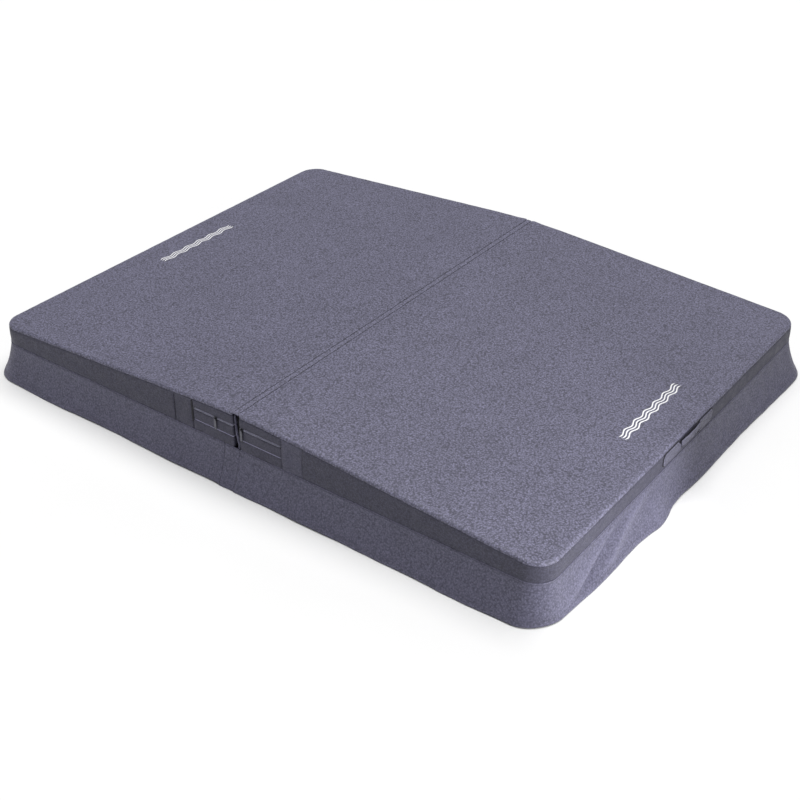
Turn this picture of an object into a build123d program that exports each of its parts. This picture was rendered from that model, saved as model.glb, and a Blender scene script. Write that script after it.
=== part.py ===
"""Folding hot-tub cover: two tapered foam halves in sewn vinyl, hinged along the fold.

Millimetres. X runs across the fold, from the left half (-X) to the right half (+X), Y runs along
the fold, and Z is up. The origin is under the middle of the cover, at the skirt's lower edge.
Pieces of the right half are modelled, and the left half mirrors them.
"""

import os

from build123d import *

# The two halves
half_length = 1050.0  # from the fold line to the outer end
half_width = 804.0  # from the middle to a long side
drop = 124.0  # from the skirt's lower edge up to the underside
end_height = 71.0  # thickness at the outer end
slope = 0.06  # rise of the top towards the fold
fold_height = 128.5  # thickness at the fold, where the crown is level
crown_start = 170.0  # where the straight top runs into the crown
gap = 13.0  # half the gap between the two fold faces
corner_radius = 70.0  # in plan
edge_round = 10.0  # round edge of the top
vinyl = 1.2

# Seams, as heights above the underside and distances from the fold line
top_seam = 12.0  # the top panel's seam is this far below the top
band_end_from = 176.0
band_end_to = 250.0
zip_panel_to = 173.0
zip_height = 81.0
zip_opening = 14.0
facing_seam = 43.0

# Inside
tape_width = 18.0
tape = 0.5
tape_end_margin = 2.0  # the tapes stop this far before the end of the zip panels
coil = 3.0
coil_depth = 2.2
coil_play = 0.2
coil_end_margin = 5.0
film_inset = 4.2
film = 0.4
core_inset = 5.0
channel = 0.8
channel_height = 88.0
channel_flange = 30.0
channel_low = 20.0  # above the underside
channel_play = 0.3

# Skirt
flare = 38.0
lap = 6.0  # the skirt's top is sewn this far up the outside of the band
insert_from = -47.0
insert_to = 9.0
skirt_play = 0.5

# Handle on the outer end
tab_length = 96.0
tab_height = 40.0
tab_low = 18.0
tab = 1.5
grip_length = 116.0
grip_height = 22.0
grip = 4.0
grip_centre = 44.5
grip_clear = 6.0  # from the band to the grip's ends
grip_bow = 7.0
root_length = 5.0
root_lap = 2.0  # the tab starts this far inside the end of its root
root_play = 0.5

# Zip slider and pull
slider_length = 13.0
slider_height = 12.0
slider_plate = 1.2
slider_play = 0.4
rail = 3.6
rail_depth = 1.2
cheek = 1.2
barrel_length = 5.0
barrel_radius = 2.2
barrel_bore = 1.0
neck_length = 1.0
bar_radius = 0.93
pull_width = 9.0
pull_length = 38.0
pull = 1.2
pull_hole = 2.2
left_slider_at = -80.0
right_slider_at = 22.0

# Print, eyelets and hinge seal
print_length = 360.0
print_from_fold = 925.0
ripple_waves = 6
ripple_rise = 4.0
ripple_width = 4.0
ripple_pitch = 10.0
print_film = 0.3
eyelet_bore = 5.0
eyelet_barrel = 6.0
eyelet_flange = 10.0
eyelet_lip = 0.6  # the lower lip is pressed flush with the underside
eyelet_from_fold = 900.0
eyelet_side = 560.0
sleeve = 1.0
seal_face = 11.5
seal_low = 3.0
seal_high = 119.0
seal_half_length = 784.0
gusset_width = 5.0
gusset_fold = [(-4.0, 118.0), (-3.0, 64.0), (5.0, 22.0)]

underside = drop
far = 2000.0  # past everything
steep = 0.9  # a face whose normal rises more than this is part of the top
along = 0.99  # an edge whose direction keeps below this doesn't run along the fold

os.makedirs("parts", exist_ok=True)


def write(builder, name):
    builder.part.label = name
    export_step(builder.part, f"parts/{name}.step")


def write_pair(builder, name):
    """Writes a piece of the right half and its mirror image on the left."""
    write(builder, f"right_{name}")
    with BuildPart() as mirrored:
        mirror(builder.part, about=Plane.YZ)
    write(mirrored, f"left_{name}")


def top_height(x):
    """Height of the straight part of the top above the underside."""
    return end_height + slope * (half_length - x)


def block(inset):
    """The right half, smaller by inset on every side."""
    low = underside + inset
    outer = half_length - inset
    fold = gap + inset
    with BuildPart() as half:
        with BuildSketch(Plane.XZ):
            with BuildLine():
                end = Line((outer, low), (outer, underside + top_height(outer) - inset))
                crown_foot = (crown_start, underside + top_height(crown_start) - inset)
                rise = Line(end @ 1, crown_foot)
                crown_top = (fold, underside + fold_height - inset)
                TangentArc(crown_foot, crown_top, tangent=rise % 1)
                Polyline(crown_top, (fold, low), (outer, low))
            make_face()
        extrude(amount=half_width - inset, both=True)
        fillet(half.edges().filter_by(Axis.Z).group_by(Axis.X)[-1], corner_radius - inset)
        top_faces = half.faces().filter_by(lambda f: f.normal_at().Z > steep)
        outer_edges = top_faces.edges().filter_by(
            lambda e: abs((e % 0.5).Y) < along or e.center().X > outer - 1
        )
        fillet(outer_edges, edge_round - inset)
    return half.part


def between(outside, inside):
    """A closed layer of the half, from one inset to another."""
    with BuildPart() as layer:
        add(outside)
        add(inside, mode=Mode.SUBTRACT)
    return layer.part


def side_view(x_from, x_to, z_from, z_to):
    """A slab right through the cover, by its limits in the side view."""
    with BuildPart() as slab:
        with BuildSketch(Plane.XZ):
            with Locations(((x_from + x_to) / 2, (z_from + z_to) / 2)):
                Rectangle(x_to - x_from, z_to - z_from)
        extrude(amount=far, both=True)
    return slab.part


def seam_cap():
    """Everything above the top panel's seam."""
    seam = underside - top_seam
    with BuildPart() as cap:
        with BuildSketch(Plane.XZ):
            with BuildLine():
                crown_foot = (crown_start, seam + top_height(crown_start))
                crown_top = (gap, seam + fold_height)
                past_end = half_length + gap
                rise = Line((past_end, seam + top_height(past_end)), crown_foot)
                TangentArc(crown_foot, crown_top, tangent=rise % 1)
                Polyline(crown_top, (0, seam + fold_height), (0, far), (past_end, far), rise @ 0)
            make_face()
        extrude(amount=far, both=True)
    return cap.part


outside = block(0)
vinyl_layer = between(outside, block(vinyl))
above_seam = seam_cap()


def wall(x_from, x_to, low, high, name):
    """A strip of the vinyl wall, low and high above the underside, under the top seam."""
    with BuildPart() as strip:
        add(vinyl_layer)
        add(side_view(x_from, x_to, underside + low, underside + high), mode=Mode.INTERSECT)
        add(above_seam, mode=Mode.SUBTRACT)
    write_pair(strip, name)


# Sewn cover of each half
with BuildPart() as top_panel:
    add(vinyl_layer)
    add(above_seam, mode=Mode.INTERSECT)
write_pair(top_panel, "top_panel")

wall(band_end_to, far, vinyl, fold_height, "side_band")
wall(0, zip_panel_to, zip_height + zip_opening / 2, fold_height, "zip_upper_panel")
wall(0, zip_panel_to, facing_seam, zip_height - zip_opening / 2, "zip_facing")
wall(0, zip_panel_to, vinyl, facing_seam, "zip_lower_panel")

for side, end in (("front", -1), ("back", 1)):
    with BuildPart() as band_end:
        add(vinyl_layer)
        wide = side_view(band_end_from, band_end_to, underside + vinyl, underside + fold_height)
        add(wide, mode=Mode.INTERSECT)
        add(above_seam, mode=Mode.SUBTRACT)
        split(bisect_by=Plane.XZ, keep=Keep.TOP if end < 0 else Keep.BOTTOM)
    write_pair(band_end, f"{side}_band_end")

eyelet_places = [(eyelet_from_fold, -eyelet_side), (eyelet_from_fold, eyelet_side)]


def eyelet_discs(radius, height, thickness):
    """A disc at each eyelet's place, up from a height above the underside."""
    with BuildPart() as discs:
        with BuildSketch(Plane.XY.offset(underside + height)):
            with Locations(*eyelet_places):
                Circle(radius)
        extrude(amount=thickness)
    return discs.part


with BuildPart() as base_panel:
    add(outside)
    add(side_view(0, far, underside, underside + vinyl), mode=Mode.INTERSECT)
    add(eyelet_discs(eyelet_barrel, 0, vinyl), mode=Mode.SUBTRACT)
    add(eyelet_discs(eyelet_flange, 0, eyelet_lip), mode=Mode.SUBTRACT)
write_pair(base_panel, "base_panel")

with BuildPart() as drain_eyelets:
    add(eyelet_discs(eyelet_flange, 0, eyelet_lip))
    add(eyelet_discs(eyelet_barrel, 0, vinyl))
    add(eyelet_discs(eyelet_flange, vinyl, eyelet_lip))
    add(eyelet_discs(eyelet_bore, 0, vinyl + eyelet_lip), mode=Mode.SUBTRACT)
write_pair(drain_eyelets, "drain_eyelets")

# Foam core, its film and the steel channel in its fold face
core_face = gap + core_inset


def channel_section(play):
    """C section open away from the fold, grown by play on every side."""
    low = underside + channel_low - play
    high = underside + channel_low + channel_height + play
    wall_thickness = channel + 2 * play
    with BuildSketch(Plane.XZ) as section:
        with Locations((core_face - play + (channel_flange + 2 * play) / 2, (low + high) / 2)):
            Rectangle(channel_flange + 2 * play, high - low)
        with Locations((core_face - play + wall_thickness + channel_flange / 2, (low + high) / 2)):
            Rectangle(channel_flange, high - low - 2 * wall_thickness, mode=Mode.SUBTRACT)
    return section.sketch


with BuildPart() as steel_channel:
    extrude(channel_section(0), amount=half_width - 2 * core_inset, both=True)
write_pair(steel_channel, "steel_channel")

with BuildPart() as foam_core:
    add(block(core_inset))
    slot = channel_section(channel_play)
    extrude(slot, amount=half_width - 2 * core_inset + channel_play, both=True, mode=Mode.SUBTRACT)
write_pair(foam_core, "foam_core")

with BuildPart() as vapour_wrap:
    add(between(block(film_inset), block(film_inset + film)))
write_pair(vapour_wrap, "vapour_wrap")

# Zip: it runs along the front, the fold face and the back of each half
zip_line = underside + zip_height
with BuildPart() as zip_tapes:
    add(between(block(vinyl), block(vinyl + tape)))
    tape_end = zip_panel_to - tape_end_margin
    strip = side_view(0, tape_end, zip_line - tape_width, zip_line + tape_width)
    add(strip, mode=Mode.INTERSECT)
    slot_half = coil / 2 + coil_play
    add(side_view(0, far, zip_line - slot_half, zip_line + slot_half), mode=Mode.SUBTRACT)
write_pair(zip_tapes, "zip_tapes")

with BuildPart() as zip_coil:
    add(between(outside, block(coil_depth)))
    coil_end = zip_panel_to - coil_end_margin
    add(side_view(0, coil_end, zip_line - coil / 2, zip_line + coil / 2), mode=Mode.INTERSECT)
write_pair(zip_coil, "zip_coil")

plate_back = -half_width - slider_play
plate_front = plate_back - slider_plate
bar_line = plate_front - slider_play - barrel_radius
cheek_gap = barrel_length + slider_play


def slider(x):
    """Slider over the coil on the front band, with two cheeks and the bar for its pull."""
    with BuildPart() as body:
        with BuildSketch(Plane.XZ.offset(-plate_back)):
            with Locations((x, zip_line)):
                RectangleRounded(slider_length, slider_height, slider_height / 4)
        extrude(amount=slider_plate)
        with BuildSketch(Plane.XZ.offset(-plate_back)):
            for rail_side in (-1, 1):
                with Locations((x, zip_line + rail_side * (slider_height - rail) / 2)):
                    RectangleRounded(slider_length, rail, rail / 4)
        extrude(amount=-rail_depth)
        with BuildSketch(Plane.XZ.offset(-plate_front)):
            for cheek_side in (-1, 1):
                with Locations((x + cheek_side * (cheek_gap + cheek) / 2, zip_line)):
                    Rectangle(cheek, 2 * barrel_radius)
        extrude(amount=slider_play + 2 * barrel_radius)
        with BuildSketch(Plane.YZ.offset(x)):
            with Locations((bar_line, zip_line)):
                Circle(bar_radius)
        extrude(amount=cheek_gap / 2 + cheek, both=True)
    return body


def zip_pull(x):
    """Pull that hangs from the slider's bar by a barrel."""
    neck = barrel_radius + neck_length
    with BuildPart() as tag:
        with BuildSketch(Plane.YZ.offset(x)):
            with Locations((bar_line, zip_line)):
                Circle(barrel_radius)
        extrude(amount=barrel_length / 2, both=True)
        with BuildSketch(Plane.XZ.offset(-bar_line)):
            with Locations((x, zip_line - (neck + barrel_radius) / 2)):
                Rectangle(barrel_length, neck)
            with Locations((x, zip_line - (neck + pull_length) / 2)):
                RectangleRounded(pull_width, pull_length - neck, pull_width / 3)
            with Locations((x, zip_line - pull_length + pull_width / 2)):
                Circle(pull_hole, mode=Mode.SUBTRACT)
        extrude(amount=pull / 2, both=True)
        with BuildSketch(Plane.YZ.offset(x)):
            with Locations((bar_line, zip_line)):
                Circle(barrel_bore)
        extrude(amount=barrel_length / 2, both=True, mode=Mode.SUBTRACT)
    return tag


for side, x in (("left", left_slider_at), ("right", right_slider_at)):
    write(slider(x), f"{side}_zip_slider")
    write(zip_pull(x), f"{side}_zip_pull")

# Handle on the outer end of each half
grip_line = underside + grip_centre
end_plane = Plane.YZ.offset(half_length)
tab_from = grip_length / 2 + root_play + root_length - root_lap
tab_middle = underside + tab_low + tab_height / 2
with BuildPart() as handle_tabs:
    for end in (-1, 1):
        with BuildSketch(end_plane):
            with Locations((end * (tab_from + tab_length / 2), tab_middle)):
                RectangleRounded(tab_length, tab_height, tab_height / 8)
        extrude(amount=tab)
        with BuildSketch(end_plane):
            with Locations((end * (grip_length / 2 + root_play + root_length / 2), grip_line)):
                Rectangle(root_length, grip_height)
        extrude(amount=grip_clear + grip)
write_pair(handle_tabs, "handle_tabs")

with BuildPart() as handle_grip:
    with BuildSketch(Plane.XY.offset(grip_line)):
        with BuildLine():
            near = half_length + grip_clear
            reach = grip_length / 2
            inner = ThreePointArc((near, -reach), (near + grip_bow, 0), (near, reach))
            back = near + grip
            outer = ThreePointArc((back, -reach), (back + grip_bow, 0), (back, reach))
            Line(inner @ 0, outer @ 0)
            Line(inner @ 1, outer @ 1)
        make_face()
    extrude(amount=grip_height / 2, both=True)
write_pair(handle_grip, "handle_grip")

# Ripples printed on the top, near the outer end
print_plane = Plane(
    origin=(print_from_fold, 0, underside + top_height(print_from_fold)),
    x_dir=(0, 1, 0),
    z_dir=(slope, 0, 1),
)
half_wave = print_length / ripple_waves / 2
with BuildPart() as top_print:
    with BuildSketch(print_plane):
        for row in (-1, 0, 1):
            with BuildLine():
                for edge_line in (row * ripple_pitch, row * ripple_pitch + ripple_width):
                    for i in range(2 * ripple_waves):
                        start = i * half_wave - print_length / 2
                        crest = edge_line + ripple_rise * (-1) ** i
                        middle = (start + half_wave / 2, crest)
                        ThreePointArc((start, edge_line), middle, (start + half_wave, edge_line))
                for tip in (-print_length / 2, print_length / 2):
                    foot = row * ripple_pitch
                    Line((tip, foot), (tip, foot + ripple_width))
            make_face()
    extrude(amount=print_film)
write_pair(top_print, "top_print")

# Skirt: one flaring ring, cut at the fold into two skirts and two inserts


def outline(height, spread):
    """The cover's outline at a height, grown by spread on every side."""
    with BuildSketch(Plane.XY.offset(height)) as plan:
        RectangleRounded(
            2 * (half_length + spread), 2 * (half_width + spread), corner_radius + spread
        )
    return plan.sketch


def flared(spread):
    """Everything inside the skirt, which laps the band and then flares."""
    with BuildPart() as body:
        loft((outline(0, spread + flare - vinyl), outline(drop, spread)), ruled=True)
        extrude(outline(drop, spread), amount=lap)
    return body.part


skirt_ring = between(flared(vinyl), flared(0))


def skirt_piece(x_from, x_to):
    with BuildPart() as piece:
        add(skirt_ring)
        add(side_view(x_from, x_to, 0, drop + lap), mode=Mode.INTERSECT)
    return piece


write(skirt_piece(insert_to + skirt_play, far), "right_skirt")
write(skirt_piece(-far, insert_from - skirt_play), "left_skirt")
for side, keep in (("front", Keep.TOP), ("back", Keep.BOTTOM)):
    with BuildPart() as skirt_insert:
        add(skirt_piece(insert_from, insert_to).part)
        split(bisect_by=Plane.XZ, keep=keep)
    write(skirt_insert, f"{side}_skirt_insert")

# Hinge strip on top of the gap, and the seal that fills the gap
with BuildPart() as hinge_strip:
    with BuildSketch(Plane.XY.offset(underside + fold_height)):
        Rectangle(2 * gap, 2 * (half_width - edge_round))
    extrude(amount=-vinyl)
write(hinge_strip, "hinge_strip")


def seal_box(inset):
    with BuildPart() as box:
        with BuildSketch(Plane.XZ):
            width = gap + seal_face - 2 * inset
            height = seal_high - seal_low - 2 * inset
            with Locations(((seal_face - gap) / 2, underside + (seal_low + seal_high) / 2)):
                Rectangle(width, height)
        extrude(amount=seal_half_length - inset, both=True)
    return box.part


with BuildPart() as seal_sleeve:
    add(between(seal_box(0), seal_box(sleeve)))
write(seal_sleeve, "seal_sleeve")

with BuildPart() as seal_foam:
    add(seal_box(sleeve + channel_play))
write(seal_foam, "seal_foam")

for side, end in (("front", -1), ("back", 1)):
    with BuildPart() as gusset:
        with BuildSketch(Plane.XZ.offset(-end * seal_half_length)):
            with BuildLine():
                Polyline(*[(x, underside + z) for x, z in gusset_fold])
                offset(amount=gusset_width / 2, side=Side.BOTH)
            make_face()
        extrude(amount=-end * (half_width - seal_half_length - vinyl))
    write(gusset, f"{side}_fold_gusset")
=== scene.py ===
"""Looks of a folding hot-tub cover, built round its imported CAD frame.

Metres, in the frame's own axes: X across the fold, Y along it, Z up. Each half is worked out as
the right one, and the left one is its mirror image with its own wrinkles. Cloth is a grid of
points, rows across the strip and columns along it, which shell() turns into a sheet of vinyl.
"""

import math

import bpy
import numpy as np
from mathutils import Matrix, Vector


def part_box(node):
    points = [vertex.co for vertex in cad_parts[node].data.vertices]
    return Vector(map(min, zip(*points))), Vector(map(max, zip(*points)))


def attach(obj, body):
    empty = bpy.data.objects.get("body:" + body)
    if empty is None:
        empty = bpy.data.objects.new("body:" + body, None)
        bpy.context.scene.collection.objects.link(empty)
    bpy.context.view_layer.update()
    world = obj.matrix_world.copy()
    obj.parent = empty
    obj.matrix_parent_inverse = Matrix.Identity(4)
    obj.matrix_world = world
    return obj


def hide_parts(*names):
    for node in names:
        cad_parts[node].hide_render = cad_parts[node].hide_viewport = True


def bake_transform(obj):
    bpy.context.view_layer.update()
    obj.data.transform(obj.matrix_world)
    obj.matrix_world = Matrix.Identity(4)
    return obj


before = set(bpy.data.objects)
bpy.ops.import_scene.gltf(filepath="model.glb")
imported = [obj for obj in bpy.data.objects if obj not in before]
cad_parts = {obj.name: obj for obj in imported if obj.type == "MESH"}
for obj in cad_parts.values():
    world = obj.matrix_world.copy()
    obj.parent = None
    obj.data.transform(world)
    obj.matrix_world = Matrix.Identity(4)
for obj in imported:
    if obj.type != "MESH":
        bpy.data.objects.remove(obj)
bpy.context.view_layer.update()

SIDES = {"left": -1, "right": 1}
FACES = {"front": -1, "back": 1}
CORNERS = ((-1, -1), (1, -1), (1, 1), (-1, 1))  # anticlockwise

# Outline and heights of the foam halves
TOP_LOW, TOP_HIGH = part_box("right_top_panel")
HALF_LENGTH, HALF_WIDTH, FOLD_TOP = TOP_HIGH
GAP = TOP_LOW.x  # from the fold line to the foam
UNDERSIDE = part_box("right_base_panel")[0].z
TOP_SEAM = 0.012  # the cover's seam is this far below the top
END_TOP = TOP_LOW.z + TOP_SEAM
CROWN_START = 0.170
SLOPE = 0.06
CORNER = 0.070
FOLD_CORNER = 0.004
EDGE_ROUND = 0.010
FOLD_ROUND = 0.0034
VINYL = 0.0012

# Zip and seams
ZIP_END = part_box("right_zip_upper_panel")[1].x
END_PIECE_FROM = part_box("right_front_band_end")[0].x
BAND_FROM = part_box("right_side_band")[0].x
ZIP_LINE = sum(corner.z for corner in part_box("right_zip_coil")) / 2
FACING_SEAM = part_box("right_zip_lower_panel")[1].z
ZIP_OPENING = 0.0030  # from the zip line to each edge that hides it
HALF_TAPE = 0.018

# Skirt and hinge
SKIRT_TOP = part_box("right_skirt")[1].z
HEM = 0.016
HINGE_LAP = 0.004
HINGE_ROWS = (-0.0120, 0.0080)


def smooth(x, low, high):
    """0 below low, 1 above high, and a soft step between."""
    t = np.clip((np.asarray(x, float) - low) / (high - low), 0, 1)
    return t * t * (3 - 2 * t)


def between(a, b, t):
    """From a, where t is 0, to b, where t is 1."""
    return (1 - t) * a + t * b


def bump(x, middle, width):
    """A soft hill, 1 at its middle."""
    return np.exp(-(((np.asarray(x, float) - middle) / width) ** 2))


def waves(x, y, length, seed, count=9):
    """Smooth random ripples over a plane, about -1 to 1, of about that wavelength."""
    rng = np.random.default_rng(seed)
    total = 0.0
    for _ in range(count):
        heading, phase = rng.uniform(0, 2 * math.pi, 2)
        pace = 2 * math.pi / (length * rng.uniform(0.7, 1.5))
        total = total + np.cos(pace * (x * math.cos(heading) + y * math.sin(heading)) + phase)
    return total / math.sqrt(2 * count)


def top_height(x):
    """Height of the top at a distance from the fold line: a straight slope, then the crown."""
    x = np.asarray(x, float)
    foot = END_TOP + SLOPE * (HALF_LENGTH - CROWN_START)
    run = CROWN_START - GAP
    bend = (foot + SLOPE * run - FOLD_TOP) / run**2
    past = np.clip(CROWN_START - x, 0, None)
    return END_TOP + SLOPE * (HALF_LENGTH - x) - bend * past**2


# Meshes


def add(name, data):
    """An object in the scene with that data."""
    obj = bpy.data.objects.new(name, data)
    bpy.context.scene.collection.objects.link(obj)
    return obj


def new_object(name, points, faces, material, flat_faces=()):
    mesh = bpy.data.meshes.new(name)
    mesh.from_pydata(np.asarray(points).tolist(), [], faces)
    shading = np.ones(len(faces), bool)
    shading[list(flat_faces)] = False
    mesh.polygons.foreach_set("use_smooth", shading)
    mesh.materials.append(material)
    mesh.update()
    return add(name, mesh)


def grid_of(x, y, z):
    """A grid of points from coordinates that broadcast together."""
    return np.stack(np.broadcast_arrays(x, y, z), axis=-1).astype(float)


def indices(rows, columns):
    """A grid of the numbers of its points."""
    return np.arange(rows * columns).reshape(rows, columns)


def grid_faces(rows, columns):
    index = indices(rows, columns)
    corners = index[:-1, :-1], index[1:, :-1], index[1:, 1:], index[:-1, 1:]
    return np.stack([c.ravel() for c in corners], axis=1)


def tube_faces(around, along):
    """Faces of a closed tube, with its two ends: points run along it, one line after another."""
    quads = (grid_faces(around + 1, along) % (around * along)).tolist()
    first = [j * along for j in range(around)]
    return quads + [first[::-1], [i + along - 1 for i in first]]


def normals_of(points, faces):
    """Unit normals of the points of a mesh of quads."""
    a, b, c, d = (points[faces[:, i]] for i in range(4))
    facing = np.cross(c - a, d - b)
    total = np.zeros_like(points)
    for i in range(4):
        np.add.at(total, faces[:, i], facing)
    return unit(total)


def set_wear_and_highlight(obj, values):
    """How rubbed each point is plus how much painted highlight it gets, from 0 to 1, for the vinyl's
    material to read.
    """
    values = np.asarray(values, np.float32)
    obj.data.attributes.new("wear_and_highlight", "FLOAT", "POINT").data.foreach_set("value", values)


def solid_sheet(name, points, faces, material, thickness, wear_and_highlight=0.0):
    """Closes a surface of quads into a sheet, with its thickness behind it."""
    count = len(points)
    behind = points - normals_of(points, faces) * thickness
    start = faces.ravel()
    end = np.roll(faces, -1, axis=1).ravel()
    rim = ~np.isin(start * count + end, end * count + start)
    start, end = start[rim], end[rim]
    sides = np.stack([end, start, start + count, end + count], axis=1)
    every = np.concatenate([faces, faces[:, ::-1] + count, sides])
    flat = range(2 * len(faces), len(every))
    obj = new_object(name, np.concatenate([points, behind]), every.tolist(), material, flat)
    values = np.zeros(2 * count)
    values[:count] = np.clip(wear_and_highlight, 0, 1)
    set_wear_and_highlight(obj, values)
    return obj


def mirrored(grid, sign):
    """A grid of the right half, moved to a side so that its outside stays outside."""
    grid = np.array(grid, float)
    if sign < 0:
        grid = grid[:, ::-1].copy()
        grid[..., 0] *= -1
    return grid


def shell(name, grid, material, thickness=VINYL, wear_and_highlight=0.0):
    """A grid made into a sheet, with its wear and painted highlight given for each of its points,
    row or column.
    """
    wear_and_highlight = np.broadcast_to(wear_and_highlight, grid.shape[:2]).ravel()
    faces = grid_faces(*grid.shape[:2])
    return solid_sheet(name, grid.reshape(-1, 3), faces, material, thickness, wear_and_highlight)


def unit(v):
    v = np.asarray(v, float)
    return v / np.maximum(np.linalg.norm(v, axis=-1, keepdims=True), 1e-12)


def distances(path):
    """How far along a path each of its points is."""
    return np.concatenate([[0], np.cumsum(np.linalg.norm(np.diff(path, axis=0), axis=1))])


def sampled(at, s, values, period=None):
    """Points or normals given at distances s, read off at other distances."""
    return np.stack([np.interp(at, s, v, period=period) for v in values.T], axis=1)


def plan_path(corners, step=0.008, arc_steps=14, closed=False):
    """Points, outward normals and distances along a path that goes anticlockwise in the plan.

    Each corner is (x, y, radius); the path turns left by a right angle where there is a radius.
    """
    knots = []
    places = [np.array(c[:2], float) for c in corners]
    for i, (_, _, radius) in enumerate(corners):
        if not radius:
            knots.append((places[i], None))
            continue
        before = unit(places[i] - places[i - 1])
        after = unit(places[(i + 1) % len(places)] - places[i])
        centre = places[i] - before * radius + after * radius
        for angle in np.linspace(0, math.pi / 2, arc_steps + 1):
            normal = before * math.sin(angle) - after * math.cos(angle)
            knots.append((centre + normal * radius, normal))
    if closed:
        knots.append(knots[0])
    points, normals = [], []
    for (here, n_here), (there, n_there) in zip(knots[:-1], knots[1:]):
        length = np.linalg.norm(there - here)
        along = (there - here) / length
        straight = np.array((along[1], -along[0]))
        turning = n_here is not None and n_there is not None and n_here @ n_there < 0.9999
        pieces = 1 if turning else max(1, round(length / step))
        for t in np.arange(pieces) / pieces:
            points.append(here + (there - here) * t)
            normals.append(n_here if (t == 0 and n_here is not None) else straight)
    if not closed:
        points.append(knots[-1][0])
        normals.append(knots[-1][1] if knots[-1][1] is not None else straight)
    return np.array(points), np.array(normals), distances(points)


def three_sides(ends_x, middle_x, radius, first, arc_steps):
    """Round one end of a half, from the front (first is -1) or the back to the other."""
    y = first * HALF_WIDTH
    corners = [(ends_x, y, 0), (middle_x, y, radius), (middle_x, -y, radius), (ends_x, -y, 0)]
    return plan_path(corners, arc_steps=arc_steps)


def band_path(start_x):
    """Round the outer end, from the front at a distance from the fold to the back."""
    return three_sides(start_x, HALF_LENGTH, CORNER, -1, 14)


def fold_path(end_x):
    """Round the fold face, from the back at a distance from the fold to the front."""
    return three_sides(end_x, GAP, FOLD_CORNER, 1, 6)


def straight_path(ends, y):
    """Along the front or the back, between two distances from the fold."""
    return plan_path([(x, y * HALF_WIDTH, 0) for x in ends], 0.004)


def rows_between(count, crowding=0.65):
    """Row positions from 0 to 1, closer together at both ends."""
    t = np.linspace(0, 1, count)
    return between(t, (1 - np.cos(math.pi * t)) / 2, crowding)


def off_path(path, off, heights):
    """A grid of points moved outward from a path in plan, at given heights."""
    points, normals, _ = path
    plan = points[None] + normals[None] * off[..., None]
    return grid_of(plan[..., 0], plan[..., 1], heights)


def wall_grid(path, low, high, outward, rows):
    """A strip of wall: from heights high down to low along a path, moved outward by a function.

    outward(s, t) gives the distance from the plan outline at s along the path and t down the strip.
    """
    s, t = path[2][None, :], rows_between(rows)[:, None]
    off = outward(s, t) * np.ones_like(s * t)
    return off_path(path, off, high + (low - high) * t)


def beads(name, path, normals, material, pitch, length, radius, lift=0.4, across=False):
    """Stitches or zip teeth: a row of small rounded bars on a path over a surface."""
    path, s = np.asarray(path, float), distances(path)
    count = max(1, int(s[-1] / pitch))
    at = (np.arange(count) + 0.5) * s[-1] / count
    up = unit(sampled(at, s, unit(normals)))
    along = unit(sampled(at + pitch / 2, s, path) - sampled(at - pitch / 2, s, path))
    wide = unit(np.cross(up, along))
    if across:
        along, wide = wide, along
    rings = [(-0.5, 0.45, -0.6), (-0.3, 1, 0.1), (0, 1, lift), (0.3, 1, 0.1), (0.5, 0.45, -0.6)]
    place, size, height = np.array(rings).T[:, None, :, None, None]
    angle = np.arange(6)[:, None] * math.pi / 3
    centre, up, along, wide = (v[:, None, None] for v in (sampled(at, s, path), up, along, wide))
    arm = wide * np.cos(angle) + up * np.sin(angle)
    points = centre + along * place * length + up * height * radius + arm * size * radius
    here = indices(5, 6)
    there = np.roll(here, -1, axis=1)
    one = np.stack([here[:-1], there[:-1], there[1:], here[1:]], axis=-1).reshape(-1, 4)
    one = np.concatenate([one, [(3, 2, 1, 0), (5, 4, 3, 0), (24, 25, 26, 27), (24, 27, 28, 29)]])
    faces = (one + 30 * np.arange(count)[:, None, None]).reshape(-1, 4)[:, :: 1 if across else -1]
    return new_object(name, points.reshape(-1, 3), faces.tolist(), material)


def grid_normals(grid):
    return normals_of(grid.reshape(-1, 3), grid_faces(*grid.shape[:2])).reshape(grid.shape)


def stitch(name, line, normals, body):
    """A line of the stitches that the walls and skirts are sewn with."""
    finish_piece(beads(name, line, normals, THREAD, 0.0055, 0.0042, 0.00045), body, "side_vinyl")


def seam(name, grid, row, body):
    stitch(name, grid[row], grid_normals(grid)[row], body)


# Materials


def new_material(name):
    material = bpy.data.materials.new(name)
    material.use_nodes = True
    tree = material.node_tree
    tree.nodes.clear()
    output = tree.nodes.new("ShaderNodeOutputMaterial")
    shader = tree.nodes.new("ShaderNodeBsdfPrincipled")
    tree.links.new(shader.outputs[0], output.inputs[0])
    return material, tree, shader


def feed(tree, socket, value):
    """Sets an input to a value, or links it to another node's output."""
    if isinstance(value, bpy.types.NodeSocket):
        tree.links.new(value, socket)
    else:
        socket.default_value = value


def node(tree, kind, inputs=None, **settings):
    """Adds a node, with each input a value or another node's output."""
    made = tree.nodes.new("ShaderNode" + kind)
    for key, value in settings.items():
        setattr(made, key, value)
    for key, value in (inputs or {}).items():
        feed(tree, made.inputs[key], value)
    return made


def math_node(tree, operation, a, b=0.0, c=0.0):
    return node(tree, "Math", {0: a, 1: b, 2: c}, operation=operation).outputs[0]


def scaled(tree, value, low, high, to_low, to_high):
    """A value mapped from one range to another, held at the ends."""
    inputs = {0: value, 1: low, 2: high, 3: to_low, 4: to_high}
    return node(tree, "MapRange", inputs).outputs[0]


def noise(tree, place, size, detail=3.0, roughness=0.55):
    inputs = {"Vector": place, "Scale": 1 / size, "Detail": detail, "Roughness": roughness}
    return node(tree, "TexNoise", inputs).outputs["Fac"]


def cells(tree, place, size, feature="F1", output="Distance"):
    inputs = {"Vector": place, "Scale": 1 / size, "Randomness": 1.0}
    return node(tree, "TexVoronoi", inputs, feature=feature).outputs[output]


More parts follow.
